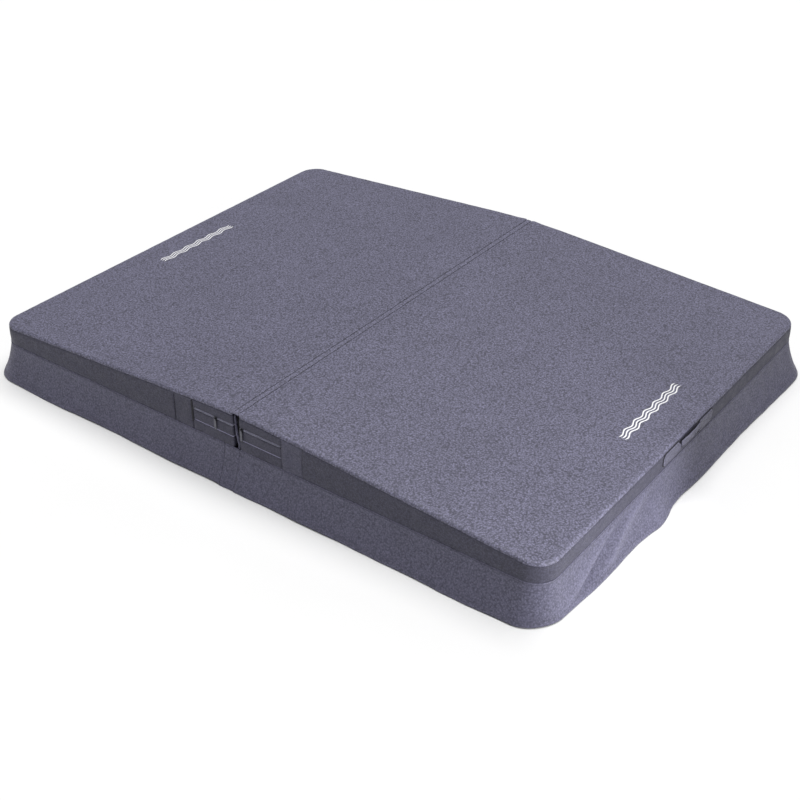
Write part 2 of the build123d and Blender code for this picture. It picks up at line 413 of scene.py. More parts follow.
def times(tree, vector, factor):
    """A colour or a vector, scaled."""
    return node(tree, "VectorMath", {0: vector, "Scale": factor}, operation="SCALE").outputs[0]


def place_of(tree):
    return node(tree, "TexCoord").outputs["Object"]


def lit_or_shaded_copy(factor):
    """The vinyl's own colour scaled: below 1 a copy with painted shade, above 1 a copy with painted
    light.
    """
    return tuple(factor * c for c in VIOLET_GREY)


def textured(name, pattern, distance, strength=1.0, **settings):
    """A material whose pattern gives its colour, its relief and its roughness."""
    material, tree, shader = new_material(name)
    color, height, rough = pattern(tree, place_of(tree))
    relief = node(tree, "Bump", {"Height": height, "Distance": distance, "Strength": strength})
    inputs = {"Base Color": color, "Roughness": rough, "Normal": relief.outputs[0], **settings}
    for key, value in inputs.items():
        feed(tree, shader.inputs[key], value)
    return material


def vinyl(name, color, grain=0.0024, speckle=0.22, rough=(0.5, 0.68), gloss=0.5):
    """Leather-grained marine vinyl: pebbles and creases, mottled, rubbed lighter on its edges, and
    lighter still where a highlight is painted into its colour.
    """
    rubbed_and_highlight = tuple(min(1.0, 1.55 * c + 0.012) for c in color)

    def pattern(tree, place):
        wobble = noise(tree, place, 0.009, 2.0)
        shift = node(tree, "CombineXYZ", {0: wobble, 1: wobble, 2: wobble}).outputs[0]
        inputs = {0: place, 1: times(tree, shift, 0.004)}
        bent = node(tree, "VectorMath", inputs, operation="ADD").outputs[0]
        pores = cells(tree, bent, grain, "SMOOTH_F1")
        pebbles = cells(tree, bent, grain * 2.2)
        mottle = noise(tree, bent, grain * 2.6, 1.0, 0.5)
        broad = noise(tree, place, 0.19, 3.0, 0.5)
        factor = scaled(tree, mottle, 0.34, 0.66, 1 - 0.5 * speckle, 1 + 0.5 * speckle)
        for tone in (
            scaled(tree, broad, 0.3, 0.7, 0.95, 1.05),
            scaled(tree, pebbles, 0.2, 0.75, 1 + speckle, 1 - speckle),
            scaled(tree, pores, 0.15, 0.75, 1.07, 0.86),
        ):
            factor = math_node(tree, "MULTIPLY", factor, tone)
        # Lighter where the point attribute says so: rubbed wear, and painted highlights.
        worn_and_lit = node(tree, "Attribute", attribute_name="wear_and_highlight").outputs["Fac"]
        patchy = math_node(tree, "MULTIPLY", worn_and_lit, scaled(tree, mottle, 0.35, 0.62, 0.35, 1.0))
        amount = math_node(tree, "MULTIPLY", patchy, 0.6)
        inputs = {0: amount, 6: times(tree, color, factor), 7: (*rubbed_and_highlight, 1.0)}
        mixed = node(tree, "Mix", inputs, data_type="RGBA").outputs[2]
        height = math_node(tree, "MULTIPLY_ADD", pores, -0.5, mottle)
        height = math_node(tree, "MULTIPLY_ADD", noise(tree, place, 0.0011, 2.0), 0.2, height)
        height = math_node(tree, "MULTIPLY_ADD", pebbles, -2.2, height)
        sheen = scaled(tree, noise(tree, place, 0.03, 3.0), 0.3, 0.7, *rough)
        return mixed, height, math_node(tree, "MULTIPLY_ADD", patchy, -0.12, sheen)

    return textured(name, pattern, 0.00035, 0.9, **{"Specular IOR Level": gloss})


def woven(name, color, thread):
    """Polyester tape or thread: two crossing sets of yarns."""

    def pattern(tree, place):
        split = node(tree, "SeparateXYZ", {0: place}).outputs
        yarns = []
        for way in (math_node(tree, "ADD", split[0], split[1]), split[2]):
            turns = math_node(tree, "MULTIPLY", way, 2 * math.pi / thread)
            yarns.append(math_node(tree, "SINE", turns))
        weave = math_node(tree, "MULTIPLY", *yarns)
        fuzz = noise(tree, place, thread * 2.5)
        factor = math_node(tree, "ADD", scaled(tree, weave, -1, 1, 0.72, 1.12), fuzz)
        tone = math_node(tree, "MULTIPLY", factor, 0.7)
        return times(tree, color, tone), weave, 0.8

    return textured(name, pattern, 0.0002, 0.6)


def metal(name, color, rough, tarnish=0.25, spangle=0.0):
    """Cast, plated or rolled metal with fine scratches and dull patches."""

    def pattern(tree, place):
        stretched = node(tree, "Mapping", {0: place, 3: (0.08, 1.0, 1.0)}).outputs[0]
        lines = noise(tree, stretched, 0.0007, 4.0)
        factor = scaled(tree, noise(tree, place, 0.006, 3.0), 0.3, 0.7, 1 - tarnish, 1.05)
        if spangle:
            flakes = cells(tree, place, spangle, output="Color")
            grey = node(tree, "SeparateXYZ", {0: flakes}).outputs[0]
            factor = math_node(tree, "MULTIPLY", factor, scaled(tree, grey, 0, 1, 0.75, 1.1))
        dull = scaled(tree, lines, 0.3, 0.7, rough * 0.75, rough * 1.3)
        return times(tree, color, factor), lines, dull

    return textured(name, pattern, 0.00005, 0.5, Metallic=1.0)


def nylon(name, color):
    """Monofilament of the zip's teeth: glossy, with a little colour drift."""

    def pattern(tree, place):
        tone = scaled(tree, noise(tree, place, 0.02), 0.3, 0.7, 0.8, 1.1)
        return times(tree, color, tone), noise(tree, place, 0.0006), 0.32

    return textured(name, pattern, 0.00005)


def foam(name, color, bead):
    """Moulded bead foam: packed beads with dark joints."""

    def pattern(tree, place):
        joints = cells(tree, place, bead, "DISTANCE_TO_EDGE")
        dome = scaled(tree, joints, 0.0, 0.3, 0.0, 1.0)
        return times(tree, color, scaled(tree, dome, 0, 1, 0.78, 1.0)), dome, 0.75

    return textured(name, pattern, bead / 6)


def film(name, color):
    """Thin milky plastic film with soft creases."""

    def pattern(tree, place):
        creases = noise(tree, place, 0.05, 5.0)
        tone = scaled(tree, creases, 0.3, 0.7, 0.85, 1.05)
        return times(tree, color, tone), creases, 0.3

    return textured(name, pattern, 0.002, Alpha=0.75)


def ink(name, color):
    """Screen-print ink that follows the grain and has worn through in pinholes."""

    def pattern(tree, place):
        tone = scaled(tree, noise(tree, place, 0.003, 4.0), 0.28, 0.45, 0.72, 1.0)
        return times(tree, color, tone), cells(tree, place, 0.0024, "SMOOTH_F1"), 0.5

    return textured(name, pattern, 0.0003, 0.5)


VIOLET_GREY = (0.116, 0.113, 0.170)
TOP_VINYL = vinyl("top_vinyl", VIOLET_GREY, speckle=0.44)
# Painted shade: the side walls are the top's vinyl made much darker, and the skirt and handle a
# little darker, for the dimmer light on upright faces.
SHADED_SIDE_VINYL = vinyl("side_vinyl", lit_or_shaded_copy(0.52), speckle=0.20, gloss=0.28)
SKIRT_VINYL = vinyl("skirt_vinyl", lit_or_shaded_copy(0.9), speckle=0.28, rough=(0.45, 0.6), gloss=0.28)
# Painted light: the right zip-end patches are lighter than the side walls, where the light from the
# right falls; the left ones stay in the shaded side vinyl.
LIT_PATCH_VINYL = vinyl("lit_patch_vinyl", lit_or_shaded_copy(0.72), speckle=0.20, gloss=0.28)
SHADED_AND_LIT_END_VINYL = {"left": SHADED_SIDE_VINYL, "right": LIT_PATCH_VINYL}
HANDLE_VINYL = vinyl("handle_vinyl", lit_or_shaded_copy(0.9), speckle=0.2)
# Painted highlight: the rolled welts are the vinyl made more than twice as light.
HIGHLIGHT_WELT_VINYL = vinyl("highlight_welt_vinyl", lit_or_shaded_copy(2.3), grain=0.0012, speckle=0.1)
LINER_VINYL = vinyl("liner_vinyl", (0.052, 0.052, 0.060), grain=0.0018, speckle=0.10)
# Painted shadow: the seal sleeve's near-black vinyl darkens the gap between the halves.
SHADOW_SEAL_VINYL = vinyl("shadow_seal_vinyl", (0.016, 0.016, 0.019), grain=0.0018, speckle=0.10)
THREAD = woven("thread", (0.075, 0.073, 0.095), 0.0006)
# Painted shade: the hinge's near-black thread darkens its two stitched grooves.
GROOVE_SHADE_THREAD = woven("groove_shade_thread", (0.022, 0.021, 0.030), 0.0006)
# Painted shadow: near-black webbing behind the handles and at the left zip ends.
SHADOW_WEBBING = woven("handle_shadow_webbing", (0.016, 0.015, 0.022), 0.0012)
TAPE = woven("zip_tape", (0.035, 0.035, 0.042), 0.0010)
COIL = nylon("zip_coil", (0.26, 0.26, 0.34))
ZIP_METAL = metal("zip_metal", (0.125, 0.125, 0.145), 0.32)
BRASS = metal("brass", (0.72, 0.50, 0.22), 0.3, tarnish=0.35)
STEEL = metal("galvanised_steel", (0.48, 0.50, 0.52), 0.4, spangle=0.012)
BEAD_FOAM = foam("eps_foam", (0.86, 0.87, 0.88), 0.0042)
SEAL_FOAM = foam("seal_foam", (0.07, 0.07, 0.08), 0.0012)
FILM = film("vapour_film", (0.62, 0.64, 0.66))
INK = ink("white_print", (0.86, 0.86, 0.87))


def finish_piece(obj, body, slot, *nodes):
    """Rides a piece on its body and hides the CAD parts that it replaces; slot, where its finish
    would come from, is not used.
    """
    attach(obj, body)
    if nodes:
        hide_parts(*nodes)


# Top cover of each half


def plan_grid(edges):
    """A grid that fills four edges given in anticlockwise order, each row along the first."""
    front, outer, back, fold = edges
    back, fold = back[::-1], fold[::-1]
    u = np.linspace(0, 1, len(front))[:, None]
    v = np.linspace(0, 1, len(fold))[:, None, None]
    corners = between(between(front[0], front[-1], u), between(back[0], back[-1], u), v)
    return between(front, back, v) + between(fold[:, None], outer[:, None], u) - corners


def top_surface(x, y, sign):
    """Height of the sewn top: slack vinyl over flat foam, drawn down towards its seams."""
    to_end, to_side = HALF_LENGTH - x, HALF_WIDTH - np.abs(y)
    slack = smooth(np.minimum(np.minimum(to_end, to_side), x - GAP + 0.02), 0, 0.12)
    wander = 0.0007 * waves(x, y, 0.42, 11 + sign) + 0.00028 * waves(x, y, 0.13, 21 + sign)
    pucker = 0.00035 * waves(x * 0.35, y, 0.05, 31 + sign) * bump(to_end, 0.02, 0.05)
    pucker = pucker + 0.0003 * waves(x, y * 0.35, 0.05, 41 + sign) * bump(to_side, 0.02, 0.05)
    return top_height(x) + slack * (wander + 0.0006) + pucker


def ring_radius(points):
    """Radius of the rolled edge: full on the outside, small along the fold."""
    return FOLD_ROUND + (EDGE_ROUND - FOLD_ROUND) * smooth(points[:, 0], GAP + 0.004, GAP + 0.05)


def plan_edges(along, across):
    """Points and outward normals of a half's front, outer end, back and fold edges.

    Each runs anticlockwise from the middle of one corner to the middle of the next.
    """
    fold, end = (GAP, FOLD_CORNER), (HALF_LENGTH, CORNER)
    outline = [(x, y * HALF_WIDTH, r) for (x, r), (_, y) in zip((fold, end, end, fold), CORNERS)]
    ring, normals, s = plan_path(outline, 0.004, arc_steps=24, closed=True)
    around = s[-1] + np.linalg.norm(ring[-1] - ring[0])
    quarter = np.sign(ring - (HALF_LENGTH / 2, 0))
    marks = []
    for corner in CORNERS:
        near = (quarter == corner).all(axis=1)
        marks.append(s[np.argmax(np.where(near, normals @ unit(corner), -9))])
    edges = []
    for i, count in enumerate((along, across, along, across)):
        span = (marks[(i + 1) % 4] - marks[i]) % around
        at = marks[i] + span * rows_between(count, 0.7)
        edges.append((sampled(at, s, ring, around), unit(sampled(at, s, normals, around))))
    return edges


def border(index):
    """The edge of a grid of indices, anticlockwise from its first corner."""
    return np.concatenate([index[0, :-1], index[:-1, -1], index[-1, :0:-1], index[:0:-1, 0]])


def top_cover(side):
    """Top panel of one half: its grid, then rings that roll over its edge and down to the seam."""
    edges = plan_edges(175, 255)
    flat = plan_grid([points - facing * ring_radius(points)[:, None] for points, facing in edges])
    x, y = flat[..., 0], flat[..., 1]
    grid = grid_of(x, y, top_surface(x, y, SIDES[side]))
    rows, columns = x.shape
    ring, normals = (np.concatenate([edge[i][:-1] for edge in edges]) for i in (0, 1))
    radius = ring_radius(ring)
    start = ring - normals * radius[:, None]
    points = [grid.reshape(-1, 3)]
    faces = [grid_faces(rows, columns)[:, ::-1]]
    from_edge = np.minimum(HALF_LENGTH - x, HALF_WIDTH - np.abs(y))
    # Lighter by the edge and over its roll: partly rubbed wear, partly a painted highlight of the
    # rolled edge.
    wear_and_highlight = [0.12 * bump(from_edge, EDGE_ROUND, 0.008).ravel()]
    previous = border(indices(rows, columns))
    height = points[0][previous, 2]
    count, total = len(ring), rows * columns
    lip = (TOP_SEAM - radius) / radius
    pinch = 0.0012 / radius
    profile = [(math.sin(a), 1 - math.cos(a)) for a in np.linspace(0, math.pi / 2, 8)[1:]]
    profile += [(1 - 0.3 * pinch, 1 + 0.55 * lip), (1 - 1.3 * pinch, 1 + lip)]
    for out, down in profile:
        place = start + normals * (radius * out)[:, None]
        here = total + np.arange(count)
        quads = [previous, here, np.roll(here, -1), np.roll(previous, -1)]
        faces.append(np.stack(quads, axis=1))
        points.append(np.column_stack([place, height - radius * down]))
        wear_and_highlight.append(0.35 * bump(down, 0.4, 0.35) * np.ones(count))
        previous, total = here, total + count
    points, faces = np.concatenate(points), np.concatenate(faces)
    if SIDES[side] < 0:
        points[:, 0] *= -1
        faces = faces[:, ::-1]
    cover = solid_sheet(f"{side}_top_cover", points, faces, TOP_VINYL, VINYL, np.concatenate(wear_and_highlight))
    finish_piece(cover, f"{side}_half", "top_vinyl", f"{side}_top_panel")


# Bands, zip panels and base


def seam_height(points):
    return top_height(points[:, 0]) - TOP_SEAM


def bulge(depth, pinch, seed, ripple=0.0006):
    """Outward shape of a wall strip: pinched in at both seams, bellied and rippled between."""

    def outward(s, t):
        belly = np.sin(math.pi * t) ** 0.7
        edge = bump(t, 0, 0.05) + bump(t, 1, 0.05)
        return depth * belly + ripple * belly * waves(s, t * 0.08, 0.11, seed) - pinch * edge

    return outward


def strip(side, label, path, low, high, outward, panel, rows, material=None):
    """A strip of wall that stands for a CAD panel."""
    grid = mirrored(wall_grid(path, low, high, outward, rows), SIDES[side])
    t = rows_between(rows)[:, None]
    wear_and_highlight = 0.5 * bump(t, 0, 0.06) + 0.6 * bump(t, 1, 0.06)
    obj = shell(f"{side}_{label}", grid, material or SHADED_SIDE_VINYL, wear_and_highlight=wear_and_highlight)
    finish_piece(obj, f"{side}_half", "side_vinyl", f"{side}_{panel}")
    return grid


def side_walls(side):
    """Band, zip flap, facing and lower panel of one half, with their stitches and rolled edges."""
    body, seed = f"{side}_half", 50 + SIDES[side]
    path = band_path(BAND_FROM)
    band = strip(
        side, "side_band", path, UNDERSIDE, seam_height(path[0]),
        bulge(0.0014, 0.0012, seed), "side_band", 17,
    )
    seam(f"{side}_band_stitches", band, 2, body)
    path = fold_path(ZIP_END)
    upper = strip(
        side, "zip_flap", path, ZIP_LINE + ZIP_OPENING, seam_height(path[0]),
        bulge(0.0010, 0.0018, seed + 10, 0.0002), "zip_upper_panel", 13,
    )
    facing = strip(
        side, "zip_facing", path, FACING_SEAM, ZIP_LINE - ZIP_OPENING,
        bulge(0.0006, 0.0014, seed + 20, 0.0002), "zip_facing", 11,
    )
    lower = strip(
        side, "zip_lower", path, UNDERSIDE, FACING_SEAM,
        bulge(0.0012, 0.0010, seed + 30), "zip_lower_panel", 13,
    )
    for label, grid, row in (
        ("flap", upper, -4), ("facing_top", facing, 2), ("facing", facing, -3), ("lower", lower, 2),
    ):
        seam(f"{side}_{label}_stitches", grid, row, body)
    # Rolled welts in light vinyl, lighter still all along: painted highlight of the rolled edges.
    for label, line, radius in (("flap", upper[-1], 0.0009), ("facing", lower[0], 0.0014)):
        welt = tube(f"{side}_{label}_welt", line, HIGHLIGHT_WELT_VINYL, radius)
        finish_piece(welt, body, "side_vinyl")
    for face, y in FACES.items():
        zip_end(side, face, y)


def zip_end(side, face, y):
    """The patch sewn over an end of the zip: the right ones lap it, and the front ones differ. The
    right ones are lighter, painted light; the left ones are in the shaded side vinyl.
    """
    start = END_PIECE_FROM - (0.0035 if side == "right" else 0.0)
    path = straight_path((start, BAND_FROM)[::-y], y)
    length = path[2][-1]
    puff = 0.0034 if (side, face) == ("right", "front") else 0.0014
    slot = 0.003 if (side, face) == ("left", "front") else 0.0

    def outward(s, t):
        from_zip = s if y < 0 else length - s
        pad = puff * bump(from_zip, 0.014, 0.015) + 0.0006
        pad = pad - slot * (1 - smooth(from_zip, 0.0015, 0.008))
        edges = bump(s, 0, 0.0025) + bump(s, length, 0.0025)
        rim = bump(t, 0, 0.05) + bump(t, 1, 0.05)
        return pad * np.sin(math.pi * t) ** 0.5 - 0.0007 * np.maximum(edges, rim)

    grid = strip(
        side, f"{face}_zip_end", path, UNDERSIDE, seam_height(path[0]), outward,
        f"{face}_band_end", 21, SHADED_AND_LIT_END_VINYL[side],
    )
    turned = grid.transpose(1, 0, 2)[:, ::-1]
    normals = grid_normals(turned)
    for label, column in (("inner", 1), ("outer", -2)):
        name = f"{side}_{face}_{label}_end_stitches"
        stitch(name, turned[column][2:-2], normals[column][2:-2], f"{side}_half")


def dark_tape_shadows(side):
    """Dark tape sewn upright over each end of a half's zip: painted shadow of the recess where the
    zip flap ends, used on the left half only.
    """
    x = np.linspace(END_PIECE_FROM - 0.005, END_PIECE_FROM + 0.002, 9)[None, :]
    z = np.linspace(ZIP_LINE + 0.026, FACING_SEAM - 0.010, 41)[:, None]
    crease = 0.0006 * bump(x, END_PIECE_FROM - 0.0015, 0.001)
    out = 0.0014 + 0.0004 * waves(0 * x, z, 0.02, 131) - crease
    for face, y in FACES.items():
        grid = mirrored(grid_of(x, y * (HALF_WIDTH + out), z)[:, ::-y], SIDES[side])
        obj = shell(f"{side}_{face}_tape_shadow", grid, SHADOW_WEBBING, thickness=0.0006)
        finish_piece(obj, f"{side}_half", "zip_tape")


def tube(name, path, material, radius, sides=8):
    """A cord-like bead of vinyl along a line, with rounded ends, made lighter all along: a painted
    highlight.
    """
    path = np.asarray(path, float)
    along = unit(np.gradient(path, axis=0))
    wide = unit(np.cross((0.0, 0.0, 1.0), along))
    up = np.cross(along, wide)
    size = np.full((len(path), 1), radius)
    size[[0, -1]] = radius * 0.15
    size[[1, -2]] = radius * 0.8
    turn = [2 * math.pi * j / sides for j in range(sides)]
    rings = [path + (wide * math.cos(angle) + up * math.sin(angle)) * size for angle in turn]
    faces = [face[::-1] for face in tube_faces(sides, len(path))]
    obj = new_object(name, np.concatenate(rings), faces, material)
    # Painted highlight: the whole bead is made lighter.
    set_wear_and_highlight(obj, np.full(sides * len(path), 0.9))
    return obj


def zip_parts(side):
    """Tapes behind the opening, and the coil's teeth between them."""
    end_x = abs(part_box(f"{side}_zip_tapes")[SIDES[side] > 0].x)
    path = fold_path(end_x)
    for label, low, high, hem in (
        ("upper", ZIP_LINE + 0.0017, ZIP_LINE + HALF_TAPE, 1),
        ("lower", ZIP_LINE - HALF_TAPE, ZIP_LINE - 0.0017, 0),
    ):
        def outward(s, t, hem=hem):
            return 0.0003 * bump(t, hem, 0.12) - 0.0016

        grid = wall_grid(path, low, high, outward, 9)
        obj = shell(f"{side}_{label}_tape", mirrored(grid, SIDES[side]), TAPE, thickness=0.0005)
        nodes = [f"{side}_zip_tapes"] if label == "upper" else []
        finish_piece(obj, f"{side}_half", "zip_tape", *nodes)
    points, normals, _ = fold_path(end_x - 0.004)
    line = np.column_stack([points - normals * 0.0010, np.full(len(points), ZIP_LINE)])
    facing = np.column_stack([normals, np.zeros(len(points))])
    line, facing = (mirrored(v[None], SIDES[side])[0] for v in (line, facing))
    coil = beads(f"{side}_coil_teeth", line, facing, COIL, 0.0021, 0.0058, 0.00085, 0.5, across=True)
    finish_piece(coil, f"{side}_half", "zip_coil", f"{side}_zip_coil")


def with_holes(flat, centres, radius, reach=3, rings=4):
    """The points and faces of a flat grid with round holes, each set in rings of quads."""
    rows, columns = flat.shape[:2]
    index = indices(rows, columns)
    kept = np.ones((rows - 1, columns - 1), bool)
    points, faces, total = [flat.reshape(-1, 2)], [], rows * columns
    for centre in centres:
        away = np.linalg.norm(flat - centre, axis=-1)
        i, j = np.unravel_index(np.argmin(away), away.shape)
        kept[i - reach : i + reach, j - reach : j + reach] = False
        previous = border(index[i - reach : i + reach + 1, j - reach : j + reach + 1])
        start = points[0][previous]
        rim = centre + unit(start - centre) * radius
        for t in np.linspace(0, 1, rings + 1)[1:]:
            here = total + np.arange(len(previous))
            quads = [previous, np.roll(previous, -1), np.roll(here, -1), here]
            faces.append(np.stack(quads, axis=1))
            points.append(start + (rim - start) * t)
            previous, total = here, total + len(here)
    faces.append(grid_faces(rows, columns)[kept.ravel(), ::-1])
    return np.concatenate(points), np.concatenate(faces)


def base_liner(side):
    """Underside of one half: a heavy liner, faintly slack between its seams, open at its drains."""
    sign = SIDES[side]
    low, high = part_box("right_drain_eyelets")
    middle, flange = (low.x + high.x) / 2, (high.x - low.x) / 2
    drains = [np.array((middle, low.y + flange)), np.array((middle, high.y - flange))]
    flat = plan_grid([points - facing * 0.0006 for points, facing in plan_edges(95, 145)])
    flat, faces = with_holes(flat, drains, flange + 0.0002)
    x, y = flat[:, 0], flat[:, 1]
    inside = np.minimum(np.minimum(HALF_LENGTH - x, x - GAP), HALF_WIDTH - abs(y))
    slack = 0.0012 * smooth(inside, 0.01, 0.09) * (0.6 * waves(x, y, 0.2, 71 + sign) - 0.6)
    drop = slack + 0.0006 * (bump(inside, 0.012, 0.004) + bump(inside, 0, 0.004))
    for drain in drains:
        drop = drop * smooth(np.linalg.norm(flat - drain, axis=1), 0.010, 0.05)
    points = np.column_stack([sign * x, y, UNDERSIDE - 0.0002 + drop])
    faces = faces[:, ::-1] if sign > 0 else faces
    wear_and_highlight = 0.5 * bump(inside, 0, 0.01)
    obj = solid_sheet(f"{side}_base_liner", points, faces, LINER_VINYL, VINYL, wear_and_highlight)
    finish_piece(obj, f"{side}_half", "liner_vinyl", f"{side}_base_panel")


# Skirt


def front_flare(x):
    """How far the hem of the front stands out, at a place along it."""
    lobes = 0.0030 * np.cos((x + 0.84) * 2 * math.pi / 0.52) * smooth(np.abs(x), 0.02, 0.3)
    return 0.0400 + 0.004 * bump(x, -0.1, 0.1) + lobes - 0.003 * bump(x, 0.68, 0.09)


def end_flare(y):
    """How far the hem of the outer end stands out: tight by its front corner."""
    tight = -0.015 * bump(y, -0.80, 0.12) - 0.005 * bump(y, -0.66, 0.08)
    fold = 0.008 * bump(y, -0.235, 0.09) - 0.003 * bump(y, -0.06, 0.06)
    return 0.039 + tight + fold + 0.010 * smooth(y, 0.35, 0.7)


def skirt_grid(path, seed):
    """A skirt that hangs straight from its seam, then kicks out to a wavy hem."""
    points, _, s = path
    t = np.linspace(0, 1, 27)[:, None]
    out = round_flare(points, seed)[None, :]
    soft = 0.0016 * waves(s[None], 0 * t, 0.24, seed)
    soft = soft + 0.0006 * waves(s[None], t * 0.13, 0.085, seed + 1)
    kick = 0.42 * t + 0.58 * t**1.8
    off = 0.0012 + (out - 0.0012) * kick + soft * smooth(t, 0.05, 0.8) + crease_depth(points, t)
    off = np.maximum(off, 0.0012 + 0.006 * t)
    hem = 1 - HEM / SKIRT_TOP
    off = off + 0.0009 * smooth(t, hem - 0.01, hem + 0.01)
    lift = 0.0012 + 0.0016 * (1 + waves(s, 0 * s, 0.3, seed + 2))
    return off_path(path, off, SKIRT_TOP + (lift[None] - SKIRT_TOP) * t)


def crease_depth(points, t):
    """Soft diagonal folds across the front part of the outer end."""
    y = points[None, :, 1]
    at_end = smooth(points[None, :, 0], HALF_LENGTH - 0.03, HALF_LENGTH - 0.002)
    middle = -0.31 - 0.34 * t**0.8
    valley = -0.020 * smooth(t, 0.05, 0.5) * bump(y, middle, 0.036 + 0.02 * t)
    ridge = 0.0065 * bump(y, middle + 0.09, 0.05) + 0.0055 * bump(y, middle - 0.09, 0.045)
    step = 0.0035 * bump(y, -0.225, 0.05) - 0.004 * bump(y, -0.125, 0.045)
    fade = smooth(t, 0.0, 0.25) * (1 - smooth(t, 0.62, 1.04))
    return at_end * (fade * (valley + ridge) + step * smooth(t, 0.15, 0.6))


def round_flare(points, seed):
    """Flare round a whole path; the skirt with an even seed has its outer end turned about."""
    x, y = points[:, 0], points[:, 1]
    end = smooth(x, HALF_LENGTH - CORNER, HALF_LENGTH)
    return between(front_flare(x), end_flare(y if seed % 2 else -y), end)


def sewn_skirt(name, path, seed, sign, body, node_name):
    """A length of skirt with its stitches, its hem and the piping at its top."""
    grid = mirrored(skirt_grid(path, seed), sign)
    t = np.linspace(0, 1, len(grid))[:, None]
    # Painted highlight on the ridges of the creases; the seam and hem are lighter from wear.
    ridge_highlight = np.clip(crease_depth(path[0], t) / 0.006, 0, 1)[:, ::sign]
    wear_and_highlight = 0.9 * bump(t, 1, 0.02) + 0.55 * bump(t, 0, 0.03) + 0.9 * ridge_highlight
    obj = shell(name, grid, SKIRT_VINYL, wear_and_highlight=wear_and_highlight)
    finish_piece(obj, body, "skirt_vinyl", node_name)
    seam(f"{name}_top_stitches", grid, 1, body)
    seam(f"{name}_hem_stitches", grid, -1 - round(HEM / SKIRT_TOP * len(grid)), body)
    piping = tube(f"{name}_top_piping", grid[0], SKIRT_VINYL, 0.0010)
    finish_piece(piping, body, "skirt_vinyl")


def skirts():
    starts = {"left": -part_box("left_skirt")[1].x, "right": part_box("right_skirt")[0].x}
    for side, seed in (("left", 84), ("right", 81)):
        sewn_skirt(
            f"{side}_skirt_cloth", band_path(starts[side]), seed, SIDES[side], f"{side}_half",
            f"{side}_skirt",
        )
    ends = [corner.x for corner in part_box("front_skirt_insert")]
    for (face, y), seed in zip(FACES.items(), (87, 89)):
        sewn_skirt(
            f"{face}_skirt_insert_cloth", straight_path(ends[::-y], y), seed, 1, "left_half",
            f"{face}_skirt_insert",
        )


# Hinge, seal and gussets


def hinge():
    """The strip over the gap: it laps onto both tops and is held by two rows of stitches in
    near-black thread, which also paints the shade of their grooves.
    """
    half = HALF_WIDTH - 0.0012
    reach = GAP + HINGE_LAP
    x = np.linspace(-reach, reach, 49)
    run = np.linspace(-half, half, 269)[1:-1]
    tips = np.array([0, 0.0014, 0.003])
    y = np.concatenate([tips - half, run, half - tips[::-1]])
    grid_x, grid_y = np.meshgrid(x, y, indexing="ij")
    sag = 0.0005 * bump(grid_x, 0, 0.006)
    for row_x in HINGE_ROWS:
        sag = sag + 0.0024 * bump(grid_x, row_x, 0.0024)
    lapped = smooth(np.abs(grid_x), GAP - 0.001, GAP + 0.002)
    ends = 0.0036 * smooth(np.abs(grid_y), half - 0.006, half + 0.0012) ** 2
    level = top_height(np.maximum(np.abs(grid_x), GAP))
    z = level + 0.0006 - 0.0003 * lapped - sag - ends + 0.0003 * waves(grid_x, grid_y, 0.07, 91)
    wear_and_highlight = 0.25 * bump(grid_x, 0, 0.006) + 0.3 * bump(np.abs(grid_x), reach, 0.001)
    grid = grid_of(grid_x, grid_y, z)
    cloth = shell("hinge_strip_cloth", grid, TOP_VINYL, thickness=0.0006, wear_and_highlight=wear_and_highlight)
    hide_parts("hinge_strip")
    pieces = [cloth]
    for label, row_x in zip(SIDES, HINGE_ROWS):
        column = int(np.argmin(np.abs(x - row_x)))
        line = grid_of(row_x, y, z[column] + 0.0002)[4:-4]
        normals = np.tile((0.0, 0.0, 1.0), (len(line), 1))
        name = f"{label}_hinge_stitches"
        pieces.append(beads(name, line, normals, GROOVE_SHADE_THREAD, 0.006, 0.0048, 0.0010))
    for obj in pieces:
        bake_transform(obj)


def seal():
    """The padded sleeve that fills the gap, sewn to the left half's fold face, in near-black vinyl
    that paints the shadow in the gap.
    """
    low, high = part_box("seal_sleeve")
    middle, half = (low + high) / 2, (high - low) / 2
    turn = np.linspace(0, 2 * math.pi, 41)[:-1]
    run = np.linspace(low.y + 0.001, high.y - 0.001, 220)
    closing = np.array([0.02, 0.5, 0.9])
    y = np.concatenate([np.full(3, run[0]), run, np.full(3, run[-1])])
    shrink = np.concatenate([closing, np.ones(len(run)), closing[::-1]])
    ring_x, ring_z = (rounded(v, 0.06)[:, None] for v in (np.cos(turn), np.sin(turn)))
    pull = shrink * (0.99 + 0.01 * smooth(np.minimum(y - low.y, high.y - y), 0, 0.02))
    soft = 1 - 0.01 * np.abs(waves(y[None], turn[:, None] * 0.03, 0.12, 95))
    x, z = middle.x + ring_x * half.x * pull * soft, middle.z + ring_z * half.z * pull
    grid = grid_of(x, y[None], z)
    faces = grid_faces(len(turn) + 1, len(y))[:, ::-1] % (len(turn) * len(y))
    obj = solid_sheet("seal_sleeve_cloth", grid.reshape(-1, 3), faces, SHADOW_SEAL_VINYL, 0.0006)
    finish_piece(obj, "left_half", "liner_vinyl", "seal_sleeve")


def rounded(v, power):
    """A sine or cosine pushed out towards a square."""
    return np.sign(v) * np.abs(v) ** power


